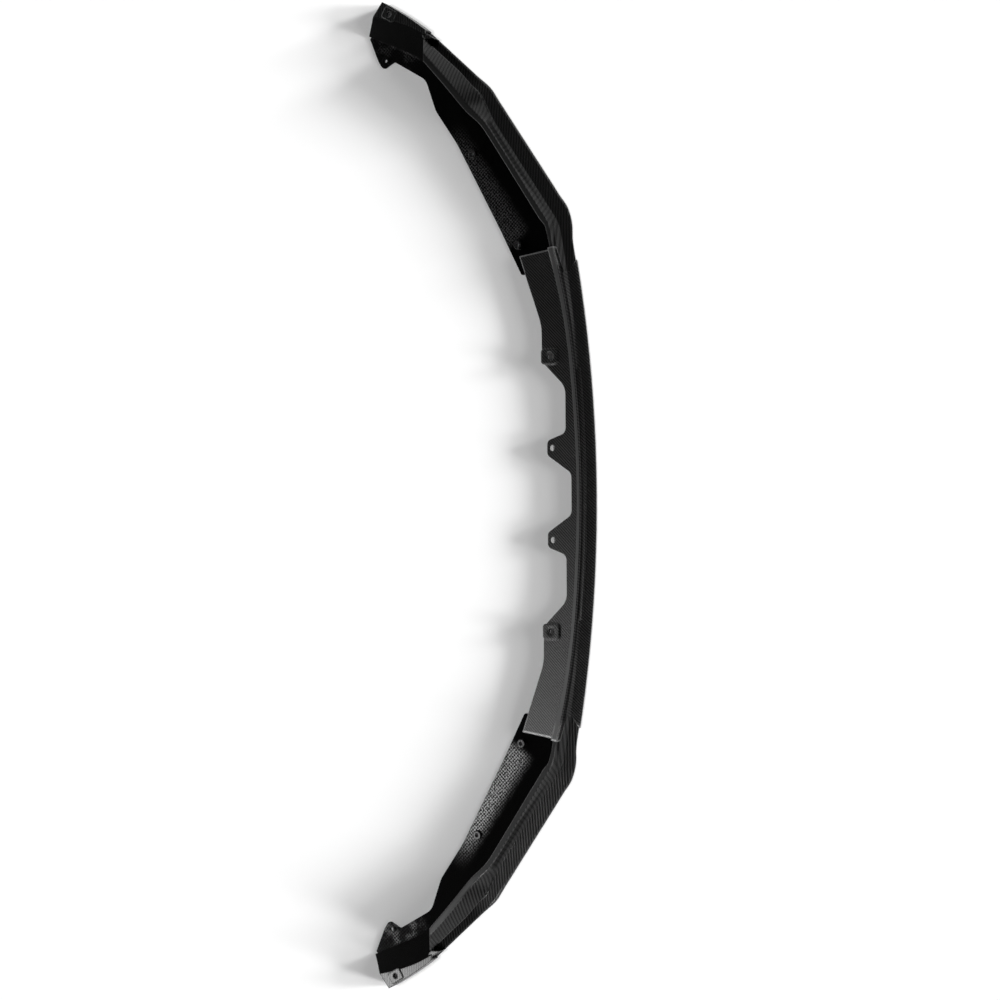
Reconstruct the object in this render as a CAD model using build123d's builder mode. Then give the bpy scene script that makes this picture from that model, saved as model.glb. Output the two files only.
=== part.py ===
"""Front splitter lip: a carbon centre section lapped over two swept-back corner mouldings.

X runs across the car, the front edge faces -Y, Z is up, in millimetres.
The lip lies on its flat underside at Z = 0, with the origin in the middle of its plan.
"""
import os
from collections import namedtuple
from math import asin, atan, cos, degrees, radians, sin, sqrt, tan

from build123d import *

# Evenly spaced stretches of the lofts
centre_loft_count = 12
corner_loft_count = 24
strip_loft_count = 4

# Shells and fits
skin = 2.5
floor_thickness = 2.5
lap_clearance = 0.3
crest_bevel = 1.2
nose_rake = 1.0
trim = 2.0
loft_margin = 10.0

# Plan of the front edge
half_depth = 228.3
front_radius = 2350.0
lap_x = 427.0
tongue_x = 345.0

# Blade, ledge and ridge of the centre section
blade_nose = 7.0
blade_root = 17.5
blade_root_height = 10.5
ridge_foot = 20.5
ridge_foot_height = 13.5
ridge_inset = 22.5
ridge_back = 2.5
mid_crest_height = 19.5
mid_crest_width = 7.0
pad_crest_height = 21.0
pad_crest_width = 8.0
lap_crest_height = 33.0
lap_crest_width = 12.0
lap_ridge_inset = 25.5
lap_foot_height = 20.0
ledge_half_length = 216.0
ledge_inset = 15.0
ledge_height = 13.5

# End of the centre section: the blade stops short of the ridge and the flange
seam_front_x = 401.0
seam_foot_x = 383.0
seam_foot_inset = 15.0

# Rear flange of the centre section, with distances behind the middle of the front edge
flange_height = 16.0
flange_thickness = 2.5
flange_root = 28.0
flange_middle = 41.0
flange_shelf = 51.5
flange_wide = 96.5
flange_bend_x = 290.0
flange_end_x = 412.0
flange_end = 139.5
flange_valley_radius = 14.0
flange_shelf_radius = 12.0
flange_step_radius = 30.0
flange_brow_radius = 20.0
flange_bend_radius = 90.0
tab_spacing = 158.0
tab_hole = 77.5
tab_hole_diameter = 10.5
tab_tip_width = 25.0
tab_tip_radius = 9.0
tab_reach = 9.5
tab_inner_flare = 31.0
tab_outer_flare = 13.0
pad_spacing = 472.0
pad_hole = 80.5
pad_hole_diameter = 11.0
pad_seat_diameter = 16.0
pad_seat_depth = 1.0
pad_width = 27.0
pad_length = 31.0
pad_corner_radius = 6.0
pad_rise = 4.0
step_margin = 8.0

# Swept-back run of a corner, seen from its apex: along the edge and inward from it
apex_run = 53.0
apex_run_angle = 5.5
apex_blend = 18.0
sweep_angle = 34.0
fin_start = 215.0
fin_spread = 282.0
kink_end = 337.0
winglet_rear = 282.8
winglet_lean_angle = 30.0
corner_nose = 5.0
corner_root = 25.0
corner_root_height = 11.0
corner_foot = 28.5
corner_foot_height = 17.0
corner_ridge_inset = 34.0
corner_crest_height = 31.0
corner_crest_width = 10.0
corner_ridge_back = 5.0
fin_ridge_inset = 31.5
fin_crest_height = 33.0

# Winglet at the rear of the ridge, standing over a groove above the narrow blade
kink_edge = 13.5
narrow_edge = 41.0
winglet_start_edge = 18.5
winglet_start_height = 17.0
winglet_margin = 12.0
groove_depth = 6.0
winglet_edge_height = 19.0
winglet_end_edge_height = 23.0
winglet_start_crest_inset = 42.5
winglet_start_crest_height = 38.0
winglet_crest_inset = 47.5
winglet_crest_height = 43.0
winglet_end_crest_inset = 63.5
winglet_end_crest_height = 47.0

# Bosses with screw holes on the corner floor
boss_diameter = 18.0
boss_rise = 5.0
boss_taper_angle = 15.0
boss_hole_diameter = 7.0
boss_dimple_diameter = 12.0
inner_boss_along = 19.5
inner_boss_inward = 112.0
outer_boss_along = 208.5
outer_boss_inward = 93.0

# Floor of a corner, behind its ridge
floor_start_along = -40.5
floor_start_inward = 73.5
floor_lap_along = -28.5
floor_lap_inward = 137.0
floor_inner_along = 61.0
floor_inner_inward = 126.0
floor_middle_along = 244.0
floor_middle_inward = 108.5
floor_brow_along = 322.0
floor_brow_inward = 109.5
floor_waist_along = 382.0
floor_waist_inward = 94.0
floor_root_inward = 66.0
floor_corner_radius = 5.0
floor_bend_radius = 60.0
floor_sweep_radius = 200.0
floor_brow_radius = 60.0
floor_waist_radius = 30.0

# Rear end of a corner: outer strip, sloping web, gusset and the tab on the floor
strip_front = 405.0
strip_level = 495.0
strip_edge = 26.5
strip_edge_slope = 0.23
strip_height = 24.0
strip_front_height = 18.0
strip_width = 38.0
strip_front_width = 6.0
valley_front = 76.0
web_thickness = 2.5
end_outer_along = 546.5
end_outer_inward = 77.5
end_inner_along = 527.0
end_inner_inward = 142.0
end_corner_radius = 3.0
valley_radius = 30.0
gusset_front_along = 421.0
gusset_front_inward = 33.0
gusset_tip_along = 432.0
gusset_tip_inward = 47.0
gusset_rear_along = 449.0
gusset_rear_inward = 44.0
gusset_hollow = 3.0
gusset_height = 21.0
end_pad_along = 517.0
end_pad_inward = 78.5
end_pad_length = 27.0
end_pad_width = 20.0
end_pad_rise = 2.5
end_pad_corner_radius = 3.0
end_pad_hole_diameter = 9.5
end_tab_along = 465.5
end_tab_inward = 139.5
end_tab_side = 9.5
end_tab_margin = 13.0
end_tab_radius = 8.0
end_tab_neck_radius = 6.0
end_tab_hole_diameter = 7.0
end_tab_boss_diameter = 15.0
end_tab_boss_rise = 1.5

front_y = -half_depth
arc_middle = (0.0, front_y + front_radius)
lap_turn = degrees(asin(lap_x / front_radius))
tongue_start = -apex_run - front_radius * (radians(lap_turn) - asin(tongue_x / front_radius))
sweep_turn = radians(sweep_angle)
beam_end = (winglet_rear - narrow_edge * cos(sweep_turn)) / sin(sweep_turn) + loft_margin
strip_reach = end_outer_along - strip_front
strip_bow = (end_outer_inward - strip_edge - strip_edge_slope * strip_reach) / strip_reach**2
wall = skin + lap_clearance

Profile = namedtuple(
    "Profile", "edge nose root root_height foot foot_height crest crest_height crest_width back"
)


def between(first, second, share):
    """Values part of the way from one profile to another."""
    return Profile(*[a + (b - a) * share for a, b in zip(first, second)])


def ease(share):
    """Share of a change that starts and ends gently."""
    return share * share * (3 - 2 * share)


def upright_plane(place, turn):
    """Upright plane across the lip where its edge runs at an angle: x points inward, y points up."""
    inward = (-sin(radians(turn)), cos(radians(turn)), 0)
    forward = (cos(radians(turn)), sin(radians(turn)), 0)
    return Plane(origin=place, x_dir=inward, z_dir=forward)


def front_plane(x):
    """Upright plane square to the curved front edge."""
    rise = front_radius - sqrt(front_radius**2 - x**2)
    return upright_plane((x, front_y + rise, 0), degrees(asin(x / front_radius)))


def front_point(x, inward):
    """Plan place at a distance inward from the front edge."""
    place = front_plane(x).from_local_coords((inward, 0, 0))
    return (place.X, place.Y)


def corner_plan():
    """Level plane at a corner's apex: x runs along the swept edge, y points inward."""
    lap = front_plane(lap_x).origin
    apex = upright_plane(lap, apex_run_angle).from_local_coords((0, 0, apex_run))
    return Plane(origin=apex, x_dir=(cos(sweep_turn), sin(sweep_turn), 0), z_dir=(0, 0, 1))


def lap_place(inset):
    """Place on a corner's plan just clear of the centre section's end, behind the front edge."""
    place = front_plane(lap_x).from_local_coords((inset, 0, lap_clearance))
    local = corner_plan().to_local_coords(place)
    return (local.X, local.Y)


def tongue_place(along):
    """Place across the car of a section of the tongue, which follows the curved front edge."""
    return front_radius * sin(radians(lap_turn) + (along + apex_run) / front_radius)


def corner_plane(along):
    """Upright plane across a corner's edge, which turns at its apex on an arc."""
    apex = corner_plan().origin
    if along <= -apex_run:
        return front_plane(tongue_place(along))
    if along >= apex_blend:
        return upright_plane(corner_plan().from_local_coords((along, 0, 0)), sweep_angle)
    start = apex - upright_plane(apex, apex_run_angle).z_dir * max(apex_blend, -along)
    if along <= -apex_blend:
        share = (along + apex_run) / (apex_run - apex_blend)
        return upright_plane(start, lap_turn + (apex_run_angle - lap_turn) * share)
    bend = sweep_angle - apex_run_angle
    radius = apex_blend / tan(radians(bend) / 2)
    turn = apex_run_angle + bend * (along + apex_blend) / (2 * apex_blend)
    middle = start + upright_plane(start, apex_run_angle).x_dir * radius
    return upright_plane(middle - upright_plane(start, turn).x_dir * radius, turn)


def centre_profile(x):
    """Profile of the centre section at a place across the car."""
    middle = Profile(
        0, blade_nose, blade_root, blade_root_height, ridge_foot, ridge_foot_height,
        ridge_inset, mid_crest_height, mid_crest_width, ridge_back,
    )
    pads = middle._replace(crest_height=pad_crest_height, crest_width=pad_crest_width)
    lap = middle._replace(
        foot=ridge_foot + lap_ridge_inset - ridge_inset, foot_height=lap_foot_height,
        crest=lap_ridge_inset, crest_height=lap_crest_height, crest_width=lap_crest_width,
    )
    if abs(x) <= ledge_half_length:
        return between(middle, pads, abs(x) / ledge_half_length)
    share = (abs(x) - ledge_half_length) / (lap_x - ledge_half_length)
    return between(pads, lap, share**2)


def inside(profile, depth):
    """Profile that lies under a skin of a given depth, or over it where the depth is negative."""
    return profile._replace(
        edge=profile.edge + depth,
        nose=profile.nose - depth,
        root=profile.root + depth / 2,
        root_height=profile.root_height - depth,
        foot=profile.foot + depth,
        foot_height=profile.foot_height - depth / 2,
        crest=profile.crest + depth,
        crest_height=profile.crest_height - depth,
        crest_width=profile.crest_width - 2 * depth,
    )


def corner_profile(along):
    """Profile of a corner at a distance along its edge from the apex."""
    if along <= -apex_run:
        return inside(centre_profile(tongue_place(along)), wall)
    plain = Profile(
        0, corner_nose, corner_root, corner_root_height, corner_foot, corner_foot_height,
        corner_ridge_inset, corner_crest_height, corner_crest_width, corner_ridge_back,
    )
    fin = plain._replace(crest=fin_ridge_inset, crest_height=fin_crest_height)
    spread = plain._replace(
        root=winglet_start_edge,
        foot=winglet_start_edge,
        foot_height=winglet_start_height,
        crest=winglet_start_crest_inset,
        crest_height=winglet_start_crest_height,
    )
    kink = plain._replace(
        edge=kink_edge,
        root=kink_edge + winglet_margin + groove_depth,
        foot=kink_edge + winglet_margin,
        foot_height=winglet_edge_height,
        crest=winglet_crest_inset,
        crest_height=winglet_crest_height,
    )
    end = plain._replace(
        edge=narrow_edge,
        root=narrow_edge + winglet_margin + groove_depth,
        foot=narrow_edge + winglet_margin,
        foot_height=winglet_end_edge_height,
        crest=winglet_end_crest_inset,
        crest_height=winglet_end_crest_height,
    )
    if along <= apex_blend:
        lap = inside(centre_profile(lap_x), wall)
        return between(lap, plain, ease((along + apex_run) / (apex_run + apex_blend)))
    if along <= fin_start:
        return between(plain, fin, ease((along - apex_blend) / (fin_start - apex_blend)))
    if along <= fin_spread:
        return between(fin, spread, ease((along - fin_start) / (fin_spread - fin_start)))
    if along <= kink_end:
        return between(spread, kink, (along - fin_spread) / (kink_end - fin_spread))
    return between(kink, end, (along - kink_end) / (beam_end - kink_end))


def beam_section(plane, profile):
    """Closed section of the blade, the cove or groove, the wall, the crest and the back of the ridge."""
    edge, nose, root, root_height, foot, foot_height, crest, crest_height, crest_width, back = profile
    with BuildSketch(plane) as section:
        with BuildLine():
            Polyline(
                (edge + nose_rake, -trim),
                (edge, nose / 2),
                (edge + nose / 2, nose),
                (root, root_height),
                (foot, foot_height),
                (crest, crest_height),
                (crest + crest_width, crest_height),
                (crest + crest_width + back, -trim),
                close=True,
            )
        make_face()
        chamfer(section.vertices().sort_by(Axis.Y)[-2:], crest_bevel)
    return section.sketch


def grounded(shape):
    """The part of a loft that stands above the underside."""
    return split(shape, bisect_by=Plane.XY, keep=Keep.TOP, mode=Mode.PRIVATE)


def corner_beam(growth):
    """Tongue, blade, ridge and winglet of a corner, grown all round by a clearance."""
    places = stations(tongue_start - growth, beam_end, corner_loft_count)
    sections = [beam_section(corner_plane(a), inside(corner_profile(a), -growth)) for a in places]
    return grounded(loft(sections=sections, mode=Mode.PRIVATE))


def floor_outline():
    """Plan of a corner's floor, from under the centre section to the rear end, with the tab."""
    with BuildSketch(corner_plan()) as outline:
        with BuildLine():
            edge_line = FilletPolyline(
                (floor_start_along, floor_start_inward),
                (floor_lap_along, floor_lap_inward),
                (floor_inner_along, floor_inner_inward),
                (floor_middle_along, floor_middle_inward),
                (floor_brow_along, floor_brow_inward),
                (floor_waist_along, floor_waist_inward),
                (end_tab_along - end_tab_margin, end_tab_inward - end_tab_margin),
                (end_tab_along - end_tab_side, end_tab_inward + end_tab_margin),
                (end_tab_along + end_tab_side, end_tab_inward + end_tab_margin),
                (end_inner_along, end_inner_inward),
                (strip_front, floor_root_inward),
                (fin_start, corner_foot),
                radius=[
                    floor_corner_radius,
                    floor_bend_radius,
                    floor_sweep_radius,
                    floor_brow_radius,
                    floor_waist_radius,
                    end_tab_neck_radius,
                    end_tab_radius,
                    end_tab_radius,
                    end_corner_radius,
                    valley_radius,
                ],
            )
            Polyline(
                edge_line @ 1,
                (apex_blend, corner_foot),
                lap_place(lap_ridge_inset + lap_crest_width - wall),
                lap_place(lap_ridge_inset + lap_crest_width + ridge_back + wall),
                edge_line @ 0,
            )
        make_face()
    return outline.sketch


def strip_section(along):
    """Thin section of the rear end: outer wall, level strip and the web that slopes down to the floor."""
    run = along - strip_front
    drop = max(0.0, (strip_level - along) / (strip_level - strip_front))
    outer = strip_edge + strip_edge_slope * run + strip_bow * run**2
    inner = outer + strip_front_width + (strip_width - strip_front_width) * (run / strip_reach) ** 2
    valley = valley_front + (end_inner_inward - valley_front) * run / (end_inner_along - strip_front)
    height = strip_height - (strip_height - strip_front_height) * drop**2
    under = web_thickness * (valley - inner) / (height - floor_thickness)
    with BuildSketch(corner_plane(along)) as section:
        with BuildLine():
            Polyline(
                (outer, -trim),
                (outer, height),
                (inner, height),
                (valley, floor_thickness),
                (valley, -trim),
                (valley - under, -trim),
                (inner - web_thickness / 2, height - web_thickness),
                (outer + web_thickness, height - web_thickness),
                (outer + web_thickness, -trim),
                close=True,
            )
        make_face()
    return section.sketch


def stations(start, stop, count):
    """Evenly spaced places from start to stop."""
    return [start + (stop - start) * i / count for i in range(count)] + [stop]


# Centre section: blade, ridge, ledge and rear flange
with BuildPart() as centre_section:
    places = stations(-lap_x, lap_x, centre_loft_count)
    beam = loft(sections=[beam_section(front_plane(x), centre_profile(x)) for x in places], mode=Mode.PRIVATE)
    add(grounded(beam))

    ledge_turn = degrees(asin(ledge_half_length / front_radius))
    with BuildSketch() as ledge:
        with BuildLine():
            outer = CenterArc(arc_middle, front_radius - ledge_inset, 270 - ledge_turn, 2 * ledge_turn)
            inner = CenterArc(arc_middle, front_radius - ridge_inset - skin, 270 - ledge_turn, 2 * ledge_turn)
            Line(outer @ 0, inner @ 0)
            Line(outer @ 1, inner @ 1)
        make_face()
    extrude(amount=ledge_height)

    with BuildSketch(Plane.XY.offset(flange_height)) as flange:
        tab_x = tab_spacing / 2
        pad_x = pad_spacing / 2
        tab_y = front_y + tab_hole
        pad_y = front_y + pad_hole
        tip_y = tab_y + tab_reach
        middle_y = front_y + flange_middle
        shelf_y = front_y + flange_shelf
        wide_y = front_y + flange_wide
        with BuildLine():
            root_arc = CenterArc(arc_middle, front_radius - flange_root, 270, lap_turn)
            edge_line = FilletPolyline(
                (0, middle_y),
                (tab_x - tab_tip_width / 2 - tab_inner_flare, middle_y),
                (tab_x - tab_tip_width / 2, tip_y),
                (tab_x + tab_tip_width / 2, tip_y),
                (tab_x + tab_tip_width / 2 + tab_outer_flare, shelf_y),
                (pad_x - step_margin - (wide_y - shelf_y), shelf_y),
                (pad_x - step_margin, wide_y),
                (flange_bend_x, wide_y),
                (flange_end_x, front_y + flange_end),
                radius=[
                    flange_valley_radius,
                    tab_tip_radius,
                    tab_tip_radius,
                    flange_shelf_radius,
                    flange_step_radius,
                    flange_brow_radius,
                    flange_bend_radius,
                ],
            )
            Line(root_arc @ 0, edge_line @ 0)
            Line(root_arc @ 1, edge_line @ 1)
        make_face()
        mirror(about=Plane.YZ)
    extrude(amount=-flange_thickness)

    with BuildSketch(Plane.XY.offset(flange_height)):
        with Locations((-pad_x, pad_y), (pad_x, pad_y)):
            RectangleRounded(pad_width, pad_length, pad_corner_radius)
    extrude(amount=pad_rise)

    pad_top = flange_height + pad_rise
    with Locations((-pad_x, pad_y, pad_top), (pad_x, pad_y, pad_top)):
        CounterBoreHole(pad_hole_diameter / 2, pad_seat_diameter / 2, pad_seat_depth)
    with Locations((-tab_x, tab_y, flange_height), (tab_x, tab_y, flange_height)):
        Hole(tab_hole_diameter / 2)

    # The blade stops short at the seam, and each end is a skin over a corner's tongue
    with BuildSketch() as seam:
        with BuildLine():
            Polyline(
                front_point(seam_front_x, -blade_nose),
                front_point(lap_x + blade_nose, -blade_nose),
                front_point(lap_x + blade_nose, lap_ridge_inset),
                front_point(lap_x, lap_ridge_inset),
                front_point(seam_foot_x, ridge_inset),
                front_point(seam_foot_x, seam_foot_inset),
                front_point(seam_front_x, 0),
                close=True,
            )
        make_face()
        mirror(about=Plane.YZ)
    extrude(amount=2 * lap_crest_height, mode=Mode.SUBTRACT)
    tongue_room = corner_beam(lap_clearance)
    add(tongue_room, mode=Mode.SUBTRACT)
    add(mirror(tongue_room, about=Plane.YZ, mode=Mode.PRIVATE), mode=Mode.SUBTRACT)

# Left corner: rear end, ridge with winglet, tongue, floor and bosses
with BuildPart() as left_corner:
    winglet_place = (0, corner_plan().origin.Y + winglet_rear, winglet_end_edge_height)
    winglet_end = Plane(origin=winglet_place, x_dir=(1, 0, 0), z_dir=(0, 1, 0))
    winglet_slant = winglet_end.rotated((winglet_lean_angle, 0, 0))
    places = stations(strip_front, end_outer_along + loft_margin, strip_loft_count)
    strip = loft(sections=[strip_section(along) for along in places], mode=Mode.PRIVATE)
    add(grounded(strip))
    split(bisect_by=winglet_end.offset(-skin), keep=Keep.TOP)
    beam = split(corner_beam(0), bisect_by=winglet_end, keep=Keep.BOTTOM, mode=Mode.PRIVATE)
    add(split(beam, bisect_by=winglet_slant, keep=Keep.BOTTOM, mode=Mode.PRIVATE))
    extrude(floor_outline(), amount=floor_thickness)

    with BuildSketch(corner_plan()) as gusset:
        tip = (gusset_tip_along, gusset_tip_inward)
        rear = (gusset_rear_along, gusset_rear_inward)
        with BuildLine():
            Polyline(tip, (gusset_front_along, gusset_front_inward), rear)
            SagittaArc(tip, rear, gusset_hollow)
        make_face()
    extrude(amount=gusset_height)

    end_start = corner_plan().from_local_coords((end_outer_along, end_outer_inward, 0))
    end_line = corner_plan().from_local_coords((end_inner_along, end_inner_inward, 0)) - end_start
    end_plane = Plane(origin=end_start, x_dir=end_line, z_dir=end_line.cross(Vector(0, 0, 1)))
    split(bisect_by=end_plane, keep=Keep.BOTTOM)

    bosses = [(inner_boss_along, inner_boss_inward), (outer_boss_along, outer_boss_inward)]
    with BuildSketch(corner_plan()):
        with Locations(*bosses):
            Circle(boss_diameter / 2)
    extrude(amount=floor_thickness + boss_rise, taper=boss_taper_angle)
    with BuildSketch(corner_plan()):
        with Locations(*bosses):
            Circle(boss_dimple_diameter / 2)
    extrude(amount=boss_rise, mode=Mode.SUBTRACT)
    with BuildSketch(corner_plan()):
        with Locations(*bosses):
            Circle(boss_hole_diameter / 2)
    extrude(amount=floor_thickness + boss_rise, mode=Mode.SUBTRACT)

    with BuildSketch(corner_plan()):
        with Locations((end_tab_along, end_tab_inward)):
            Circle(end_tab_boss_diameter / 2)
    extrude(amount=floor_thickness + end_tab_boss_rise)
    with BuildSketch(corner_plan()):
        with Locations((end_tab_along, end_tab_inward)):
            Circle(end_tab_hole_diameter / 2)
    extrude(amount=floor_thickness + end_tab_boss_rise, mode=Mode.SUBTRACT)

    pad_turn = degrees(atan(strip_edge_slope + 2 * strip_bow * (end_pad_along - strip_front)))
    with BuildSketch(corner_plan().offset(strip_height - web_thickness)):
        with Locations((end_pad_along, end_pad_inward)):
            RectangleRounded(end_pad_length, end_pad_width, end_pad_corner_radius, rotation=pad_turn)
    extrude(amount=web_thickness + end_pad_rise)
    with BuildSketch(corner_plan()):
        with Locations((end_pad_along, end_pad_inward)):
            Circle(end_pad_hole_diameter / 2)
    extrude(amount=strip_height + end_pad_rise, mode=Mode.SUBTRACT)

# Right corner: the mirror image
with BuildPart() as right_corner:
    mirror(left_corner.part, about=Plane.YZ)

os.makedirs("parts", exist_ok=True)
centre_section.part.label = "centre_section"
left_corner.part.label = "left_corner"
right_corner.part.label = "right_corner"
for piece in (centre_section.part, left_corner.part, right_corner.part):
    export_step(piece, f"parts/{piece.label}.step")
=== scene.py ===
import math

import bpy
from mathutils import Matrix, Vector


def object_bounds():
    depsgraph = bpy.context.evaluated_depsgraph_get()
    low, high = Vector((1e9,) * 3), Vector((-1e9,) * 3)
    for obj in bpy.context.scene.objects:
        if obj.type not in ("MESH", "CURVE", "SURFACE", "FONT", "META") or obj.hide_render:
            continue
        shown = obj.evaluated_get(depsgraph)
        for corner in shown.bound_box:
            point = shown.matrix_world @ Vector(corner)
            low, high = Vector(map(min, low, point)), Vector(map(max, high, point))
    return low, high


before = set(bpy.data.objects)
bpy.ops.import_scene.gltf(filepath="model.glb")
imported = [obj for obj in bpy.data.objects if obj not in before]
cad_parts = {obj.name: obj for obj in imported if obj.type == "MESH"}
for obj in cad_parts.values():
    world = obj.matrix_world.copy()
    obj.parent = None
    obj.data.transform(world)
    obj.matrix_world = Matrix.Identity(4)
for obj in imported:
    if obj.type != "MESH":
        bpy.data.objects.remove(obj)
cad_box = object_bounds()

quarter = math.radians(90)
white = (1, 1, 1, 1)

# Camera of the photograph, turned a quarter so that the car's left is at the top
camera_distance = 3.2
camera_elevation = math.radians(60)
camera_aim = Vector((0, -0.0079, 0))
camera_roll = math.radians(-0.4)
camera_lens = 65.4
camera_shift = (0.015, -0.0055)

# Carbon cloth: tow widths in metres, turns on the plan, and what the dim and the bright tows reflect, a
# painted sheen that stands for the sheen changing with a tow's direction
centre_tow = 0.00135
corner_tow = 0.0017
centre_turn = math.radians(0)
corner_turn = math.radians(45)
tow_sheen_tones = (0.006, 0.046)
tow_roughness = 0.42
tow_relief = 0.00012
twill_repeat = 4
twill_over = 2
noise_detail = 3.0
patch_scale = 14.0
patch_tones = (0.7, 1.3)

# Clear coat: its waves, the resin below it, and what steep walls keep of coat and tone; their lower tone is
# painted shade
coat_roughness = 0.03
coat_wave = 0.0004
coat_wave_strength = 0.5
resin_specular = 0.2
level_slope = 0.9
wall_slopes = (0.8, 0.5)
wall_shade_tone = 0.5
wall_coat = 0.35

# Rounded edges, found where the bevelled normal leaves the flat one
bevel_samples = 6
edge_round = 0.0015
ridge_round = 0.003
ridge_foot = (0.012, 0.016)
edge_match = (0.995, 0.95)
edge_forward = (0.05, 0.2)

# Plain resin on the crests of the ridges, from a height up
resin_scale = 420.0
crest_roughness = 0.75
crest_relief = 0.1
centre_crest = 0.0185
centre_crest_tones = (0.085, 0.095)
centre_crest_coat = 1.0
corner_crest = 0.0285
corner_crest_tones = (0.019, 0.029)
corner_crest_coat = 0.05

# Centre section: the arc of its front edge, the crest's reach behind it, its pads and its flange's ends
arc_radius = 2.35
arc_middle = (0, cad_box[0][1] + arc_radius, 0)
crest_reach = 0.045
pad = (0.236, -0.1478)
pad_reach = (0.024, 0.0216)
pad_round = 0.004
flange_end = (0.412, -0.0888)
flange_end_turn = math.radians(7.7)
flange_end_reach = (-0.045, -0.02)
rim_reach = (-0.004, 0.0)
rim_drop = 0.0009
# The rim and the edges near the flange's ends are painted light grey as a highlight
rim_highlight_tone = 0.3
rim_highlight_share = (0.2, 0.6)

# Corners: heights, and places along their sweep from the apex
apex = (0.4798, -0.1841)
sweep = math.radians(34)
floor_top = 0.0042
groove_top = 0.0155
strip_top = 0.0238
groove_start = (0.28, 0.34)
# Painted shade in the groove under the winglet
groove_shade_tone = 0.3
winglet_start = (0.21, 0.28)
winglet_end = 0.404
winglet_tone = 0.65
web_slope = 0.2
# Bare resin, nearly black: dark resin that is also painted shade behind the ridge and on the end's web
bare_and_shade_tones = (0.0002, 0.0018)
bare_roughness = 0.5
# Where the ridge's back ends; past it the end's web keeps the nearly black painted shade
end_web_shade_start = (0.40, 0.37)
ridge_back_tones = (0.008, 0.02)

# Rough cloth on the corners' floors and, in patches, on their tabs, kept off the floor near the ridge,
# which is left as painted shadow of the ridge
rough_tow = 0.0046
rough_start = (0.022, 0.04)
rough_end = (0.29, 0.19)
ridge_shadow_edge = (0.078, 0.108)
ridge_shadow_edge_scale = 90.0
ridge_shadow_edge_wander = 0.008
rough_tones = (0.003, 0.203)
rough_roughness = 0.3
rough_lumps = 2.0
knot_share = 0.35
grain_scale = 340.0
grain_detail = 2.0
grain_levels = (0.46, 0.92)
tab_start = (0.40, 0.43)
tab_patch_scale = 45.0
tab_patch_levels = (0.42, 0.62)
tab_shares = (0.05, 0.4)

# Floor and world
floor_size = 400
floor_gap = 0.0003
world_level = 0.08
backdrop_level = 1.0
backdrop_fade = (0.42, 0.25)

# Softboxes on the lip: name, place, target, size and radiance; the first one, the key, fades out
softboxes = (
    ("key", (-0.475, 0.8, 1.25), (-0.475, 0.8, 0), (2.05, 1.2), 8.5),
    ("front", (-1.6, -1.7, 1.3), (-0.3, 0, 0), (0.9, 0.6), 4.4),
    ("edge", (-2.15, -0.34, 1.25), (-0.7, -0.1, 0), (0.5, 0.5), 10.0),
    ("edge", (2.3, -0.12, 1.25), (0.7, -0.1, 0), (0.25, 0.25), 1.2),
    ("back", (0, 2.4, 0.8), (0, -0.1, 0.02), (2.4, 0.5), 1.0),
)
key_fade = 3.0

# Suns on the floor: name, elevation, turn and disc in degrees, and share of the floor's white
suns = (
    ("low_sun", 8.5, -7, 8.5, 0.245),
    ("low_sun", 8.5, 9, 8.5, 0.245),
    ("low_sun", 17, 2, 22, 0.16),
    ("fill", 76, 180, 10, 0.31),
)


class Graph:
    """Node tree with short ways to add the nodes that the looks need."""

    def __init__(self, tree):
        self.tree = tree

    def add(self, kind):
        """New shader node of a kind."""
        return self.tree.nodes.new("ShaderNode" + kind)

    def join(self, value, socket):
        """Feeds a socket from another socket or sets it to a constant."""
        if isinstance(value, bpy.types.NodeSocket):
            self.tree.links.new(value, socket)
        else:
            socket.default_value = value

    def calc(self, operation, *values):
        """Output of a Math node."""
        node = self.add("Math")
        node.operation = operation
        for value, socket in zip(values, node.inputs):
            self.join(value, socket)
        return node.outputs[0]

    def times(self, first, *others):
        """Product of numbers."""
        for value in others:
            first = self.calc("MULTIPLY", first, value)
        return first

    def most(self, first, *others):
        """Largest of numbers."""
        for value in others:
            first = self.calc("MAXIMUM", first, value)
        return first

    def minus(self, first, second):
        """Difference of two numbers."""
        return self.calc("SUBTRACT", first, second)

    def above(self, value, limit):
        """1 where a value is over a limit, and 0 elsewhere."""
        return self.calc("GREATER_THAN", value, limit)

    def below(self, value, limit):
        """1 where a value is under a limit, and 0 elsewhere."""
        return self.calc("LESS_THAN", value, limit)

    def blend(self, share, first, second):
        """Number between two others, mixed by a share."""
        node = self.add("Mix")
        self.join(share, node.inputs["Factor"])
        self.join(first, node.inputs["A"])
        self.join(second, node.inputs["B"])
        return node.outputs["Result"]

    def ramp(self, value, start, end, course="SMOOTHSTEP"):
        """Share that goes from 0 at the start to 1 at the end."""
        node = self.add("MapRange")
        node.interpolation_type = course
        self.join(value, node.inputs["Value"])
        self.join(start, node.inputs["From Min"])
        self.join(end, node.inputs["From Max"])
        return node.outputs["Result"]

    def parts(self, vector):
        """X, Y and Z of a vector."""
        node = self.add("SeparateXYZ")
        self.join(vector, node.inputs["Vector"])
        return node.outputs["X"], node.outputs["Y"], node.outputs["Z"]

    def gauge(self, operation, first, second):
        """Number that a Vector Math node finds for two vectors."""
        node = self.add("VectorMath")
        node.operation = operation
        self.join(first, node.inputs[0])
        self.join(second, node.inputs[1])
        return node.outputs["Value"]

    def grey(self, value):
        """Grey colour of a level."""
        node = self.add("CombineColor")
        for socket in node.inputs:
            self.join(value, socket)
        return node.outputs["Color"]

    def bump(self, height, strength, distance, normal):
        """Normal bent by a height."""
        node = self.add("Bump")
        self.join(strength, node.inputs["Strength"])
        self.join(distance, node.inputs["Distance"])
        self.join(height, node.inputs["Height"])
        self.join(normal, node.inputs["Normal"])
        return node.outputs["Normal"]


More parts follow.
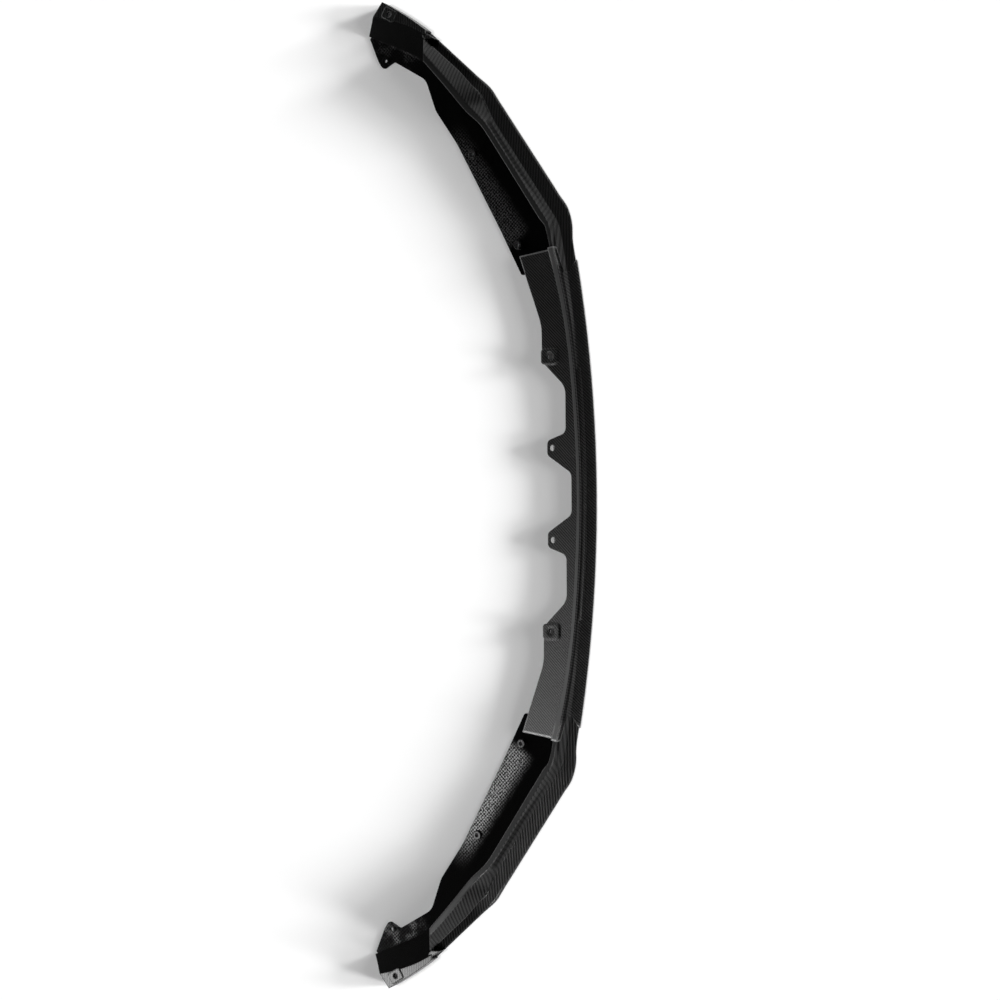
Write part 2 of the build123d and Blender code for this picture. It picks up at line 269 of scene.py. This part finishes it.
class Carbon(Graph):
    """Clear-coated carbon cloth, whose look is changed place by place before it is fed to the shader."""

    def __init__(self, name, tow_width, turn):
        self.material = bpy.data.materials.new(name)
        self.material.use_nodes = True
        super().__init__(self.material.node_tree)
        self.place = self.add("TexCoord").outputs["Object"]
        self.x, self.y, self.z = self.parts(self.place)
        self.normal = self.add("NewGeometry").outputs["True Normal"]
        self.east, self.north, self.up = self.parts(self.normal)
        self.level = self.above(self.up, level_slope)
        self.bevel = self.add("Bevel")
        self.bevel.samples = bevel_samples
        self.shape = self.bevel.outputs["Normal"]
        self.patches = self.noise(patch_scale)
        self.resin = self.noise(resin_scale)
        warp, self.weave = self.twill(tow_width, turn)
        self.look = {
            # The dim and bright tows are painted sheen
            "tone": self.times(self.blend(warp, *tow_sheen_tones), self.blend(self.patches, *patch_tones)),
            "metal": 1.0,
            "roughness": tow_roughness,
            "coat": 1.0,
            "relief": self.weave,
            "strength": 1.0,
        }
        # Steep walls get a darker tone as painted shade, and less coat
        wall = self.ramp(self.up, *wall_slopes)
        self.shade(wall, wall_shade_tone)
        self.cover(wall, coat=wall_coat)

    def noise(self, scale, detail=noise_detail):
        """Noise value at the place."""
        node = self.add("TexNoise")
        self.join(self.place, node.inputs["Vector"])
        self.join(scale, node.inputs["Scale"])
        self.join(detail, node.inputs["Detail"])
        return node.outputs[0]

    def tows(self, tow_width, turn):
        """Count of the tows across and along a cloth that is laid on the plan and turned."""
        turned = self.add("VectorRotate")
        turned.rotation_type = "Z_AXIS"
        self.join(self.place, turned.inputs["Vector"])
        self.join(turn, turned.inputs["Angle"])
        across, along = self.parts(turned.outputs["Vector"])[:2]
        return self.calc("DIVIDE", across, tow_width), self.calc("DIVIDE", along, tow_width)

    def crown(self, count):
        """Rounded height across one tow."""
        return self.calc("SINE", self.times(self.calc("FRACT", count), math.pi))

    def twill(self, tow_width, turn):
        """Mask of the tows on top and height of a two-by-two twill."""
        across, along = self.tows(tow_width, turn)
        step = self.minus(self.calc("FLOOR", across), self.calc("FLOOR", along))
        warp = self.below(self.calc("FLOORED_MODULO", step, twill_repeat), twill_over)
        return warp, self.blend(warp, self.crown(along), self.crown(across))

    def knots(self, tow_width, turn):
        """Height of the knots of a plain weave."""
        across, along = self.tows(tow_width, turn)
        return self.times(self.crown(across), self.crown(along))

    def beyond(self, point):
        """How far out and how far back the place lies from a point, on either side of the car."""
        return self.minus(self.calc("ABSOLUTE", self.x), point[0]), self.minus(self.y, point[1])

    def course(self, out, back, turn):
        """Distance along a line that is turned back from straight out."""
        return self.calc("MULTIPLY_ADD", out, math.cos(turn), self.times(back, math.sin(turn)))

    def shade(self, share, tone):
        """Multiplies the tone by another one, by a share."""
        self.look["tone"] = self.times(self.look["tone"], self.blend(share, 1.0, tone))

    def cover(self, share, **changes):
        """Blends some of the look's numbers into new ones, by a share."""
        for name, value in changes.items():
            self.look[name] = self.blend(share, self.look[name], value)

    def crest(self, share, tones, coat):
        """Puts plain resin on the crest of a ridge."""
        self.cover(
            share,
            tone=self.blend(self.resin, *tones),
            metal=0.0,
            roughness=crest_roughness,
            coat=coat,
            strength=crest_relief,
        )

    def round_edges(self, radius):
        """Rounds the edges, keeps the full coat on those that face the front and gives the edges' share."""
        self.join(radius, self.bevel.inputs["Radius"])
        bent = self.bevel.outputs["Normal"]
        edge = self.ramp(self.gauge("DOT_PRODUCT", bent, self.normal), *edge_match)
        forward = self.times(self.parts(bent)[1], -1.0)
        self.cover(self.times(edge, self.ramp(forward, *edge_forward)), coat=1.0)
        return edge

    def finish(self):
        """Feeds the shader and gives the material."""
        sockets = self.tree.nodes["Principled BSDF"].inputs
        self.join(self.grey(self.look["tone"]), sockets["Base Color"])
        self.join(self.look["metal"], sockets["Metallic"])
        self.join(self.look["roughness"], sockets["Roughness"])
        self.join(self.look["coat"], sockets["Coat Weight"])
        sockets["Coat Roughness"].default_value = coat_roughness
        sockets["Specular IOR Level"].default_value = resin_specular
        cloth = self.bump(self.look["relief"], self.look["strength"], tow_relief, self.shape)
        self.join(cloth, sockets["Normal"])
        waves = self.bump(self.patches, coat_wave_strength, coat_wave, self.shape)
        self.join(waves, sockets["Coat Normal"])
        return self.material


def centre_carbon():
    """Fine straight twill with a grey crest, soft pads and a rolled rim at the flange's ends, painted light
    grey as a highlight along the rim and the nearby edges.
    """
    cloth = Carbon("centre_carbon", centre_tow, centre_turn)
    past_end = cloth.course(*cloth.beyond(flange_end), flange_end_turn)
    near_end = cloth.ramp(past_end, *flange_end_reach)
    out, back = cloth.beyond(pad)
    from_pad = cloth.calc("SQRT", cloth.calc("MULTIPLY_ADD", out, out, cloth.times(back, back)))
    soft = cloth.most(cloth.ramp(from_pad, *pad_reach), near_end)
    from_middle = cloth.gauge("DISTANCE", cloth.place, arc_middle)
    in_front = cloth.above(from_middle, arc_radius - crest_reach)

    on_crest = cloth.times(cloth.above(cloth.z, centre_crest), cloth.level, in_front)
    cloth.crest(on_crest, centre_crest_tones, centre_crest_coat)
    edge = cloth.round_edges(cloth.blend(soft, edge_round, pad_round))
    rim = cloth.ramp(past_end, *rim_reach, "LINEAR")
    # Painted highlight on the rim and on the edges near the flange's ends
    rim_highlight = cloth.most(cloth.ramp(rim, *rim_highlight_share), cloth.times(edge, near_end))
    cloth.cover(rim_highlight, tone=rim_highlight_tone, metal=0.0)
    cloth.shape = cloth.bump(cloth.minus(1.0, rim), 1.0, rim_drop, cloth.shape)
    return cloth.finish()


def dim_winglet(cloth, along):
    """Darkens the winglet, paints shade into the groove under it, and leaves them less coat."""
    groove = cloth.times(cloth.below(cloth.z, groove_top), cloth.ramp(along, *groove_start))
    raised = cloth.times(cloth.above(cloth.z, groove_top), cloth.below(along, winglet_end))
    winglet = cloth.times(raised, cloth.ramp(along, *winglet_start))
    cloth.shade(winglet, winglet_tone)
    cloth.shade(groove, groove_shade_tone)
    cloth.cover(cloth.most(groove, winglet), coat=wall_coat)


def bare_inner_side(cloth, floor, along):
    """Leaves the floor and the walls round it bare, in nearly black resin that is also painted shade behind
    the ridge and on the end's web, with lighter resin on the ridge's back.
    """
    outward = cloth.times(cloth.east, cloth.calc("SIGN", cloth.x))
    facing_in = cloth.course(outward, cloth.north, sweep + quarter)
    web = cloth.times(cloth.above(facing_in, web_slope), cloth.below(cloth.z, strip_top))
    bare_and_shade_tone = cloth.blend(cloth.resin, *bare_and_shade_tones)
    cloth.cover(cloth.most(floor, web), tone=bare_and_shade_tone, roughness=bare_roughness, coat=0.0)
    ridge_back = cloth.times(web, cloth.ramp(along, *end_web_shade_start))
    cloth.cover(ridge_back, tone=cloth.blend(cloth.resin, *ridge_back_tones), metal=0.0)


def rough_floor(cloth, floor, along, inward):
    """Lays rough cloth with light knots near the floor's inner edge and, in patches, on the tab, and keeps
    it off nearer the ridge, where the bare floor is painted shadow of the ridge.
    """
    patchy = cloth.ramp(cloth.noise(tab_patch_scale), *tab_patch_levels)
    on_tab = cloth.times(cloth.ramp(along, *tab_start), cloth.blend(patchy, *tab_shares))
    on_floor = cloth.times(cloth.ramp(along, *rough_start), cloth.ramp(along, *rough_end))
    # The rough cloth stops at a wandering edge, the edge of the ridge's painted shadow
    wander = cloth.calc("MULTIPLY_ADD", cloth.noise(ridge_shadow_edge_scale), ridge_shadow_edge_wander, inward)
    past_ridge_shadow = cloth.times(floor, cloth.ramp(wander, *ridge_shadow_edge))
    grain = cloth.noise(grain_scale, grain_detail)
    grain = cloth.calc("MULTIPLY_ADD", cloth.knots(rough_tow, corner_turn), knot_share, grain)
    cloth.cover(
        cloth.times(past_ridge_shadow, cloth.calc("ADD", on_floor, on_tab)),
        tone=cloth.blend(cloth.ramp(grain, *grain_levels), *rough_tones),
        roughness=rough_roughness,
        relief=cloth.calc("MULTIPLY_ADD", cloth.resin, rough_lumps, cloth.weave),
        strength=1.0,
    )


def corner_carbon():
    """Coarser twill laid at a slant, with a dark crest and an unfinished inner side."""
    cloth = Carbon("corner_carbon", corner_tow, corner_turn)
    out, back = cloth.beyond(apex)
    along = cloth.course(out, back, sweep)
    inward = cloth.course(out, back, sweep + quarter)
    floor = cloth.times(cloth.below(cloth.z, floor_top), cloth.level)

    on_crest = cloth.times(cloth.above(cloth.z, corner_crest), cloth.level)
    cloth.crest(on_crest, corner_crest_tones, corner_crest_coat)
    cloth.round_edges(cloth.blend(cloth.ramp(cloth.z, *ridge_foot), edge_round, ridge_round))
    dim_winglet(cloth, along)
    bare_inner_side(cloth, floor, along)
    rough_floor(cloth, floor, along, inward)
    return cloth.finish()


centre_material = centre_carbon()
corner_material = corner_carbon()
for name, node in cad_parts.items():
    node.data.materials[0] = centre_material if name == "centre_section" else corner_material

# Floor
bpy.ops.mesh.primitive_plane_add(size=floor_size, location=(0, 0, -floor_gap))
floor = bpy.context.object
floor.name = "studio_floor"
paper = bpy.data.materials.new("floor_white")
paper.use_nodes = True
paper_sockets = paper.node_tree.nodes["Principled BSDF"].inputs
paper_sockets["Base Color"].default_value = white
paper_sockets["Roughness"].default_value = 1.0
paper_sockets["Specular IOR Level"].default_value = 0.0
floor.data.materials.append(paper)

# World, dim for the light that it gives and white where it is seen low down
world = bpy.data.worlds.new("studio")
bpy.context.scene.world = world
world.use_nodes = True
sky = Graph(world.node_tree)
background = sky.tree.nodes["Background"].inputs
background["Color"].default_value = white
rise = sky.parts(sky.add("TexCoord").outputs["Generated"])[2]
path = sky.add("LightPath").outputs
seen = sky.most(path["Is Camera Ray"], path["Is Glossy Ray"], path["Is Transmission Ray"])
backdrop = sky.times(seen, sky.ramp(rise, *backdrop_fade))
sky.join(sky.blend(backdrop, world_level, backdrop_level), background["Strength"])

# Light, apart for the lip and for the floor
lit_lip = bpy.data.collections.new("lit_lip")
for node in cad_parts.values():
    lit_lip.objects.link(node)
lit_floor = bpy.data.collections.new("lit_floor")
lit_floor.objects.link(floor)


def lamp(name, kind, receivers, ray):
    """Lamp that sends its light along a ray to one collection and isn't seen itself."""
    made = bpy.data.objects.new(name, bpy.data.lights.new(name, kind))
    made.rotation_mode = "QUATERNION"
    made.rotation_quaternion = ray.to_track_quat("-Z", "Y")
    made.visible_camera = False
    made.light_linking.receiver_collection = receivers
    bpy.context.collection.objects.link(made)
    return made


def softbox(name, place, target, size, radiance):
    """Soft rectangular lamp on the lip alone that faces a target."""
    made = lamp(name, "AREA", lit_lip, Vector(target) - Vector(place))
    made.location = place
    made.data.shape = "RECTANGLE"
    made.data.size, made.data.size_y = size
    made.data.energy = radiance * math.pi * size[0] * size[1]
    return made


def fade_out(made):
    """Fades a softbox out from the car's right to its left."""
    made.data.use_nodes = True
    graph = Graph(made.data.node_tree)
    across = graph.parts(graph.add("NewGeometry").outputs["Parametric"])[0]
    level = graph.calc("POWER", graph.minus(1.0, across), key_fade)
    graph.join(level, graph.tree.nodes["Emission"].inputs["Strength"])


def sun(name, elevation, turn, disc, share):
    """Distant lamp on the floor alone, which gives a share of its white."""
    level = math.cos(math.radians(elevation))
    drop = math.sin(math.radians(elevation))
    turn = math.radians(turn)
    made = lamp(name, "SUN", lit_floor, Vector((-level * math.sin(turn), level * math.cos(turn), -drop)))
    made.data.angle = math.radians(disc)
    made.data.energy = share * math.pi / drop


made_softboxes = [softbox(*values) for values in softboxes]
fade_out(made_softboxes[0])
for values in suns:
    sun(*values)

# Camera
lens = bpy.data.cameras.new("camera")
lens.lens = camera_lens
lens.shift_x, lens.shift_y = camera_shift
camera = bpy.data.objects.new("camera", lens)
bpy.context.collection.objects.link(camera)
back = Vector((0, -math.cos(camera_elevation), math.sin(camera_elevation)))
up = Matrix.Rotation(camera_roll, 3, back) @ Vector((1, 0, 0))
axes = Matrix((up.cross(back), up, back)).transposed().to_4x4()
camera.matrix_world = Matrix.Translation(camera_aim + back * camera_distance) @ axes
bpy.context.scene.camera = camera
bpy.context.scene.view_settings.view_transform = "Standard"
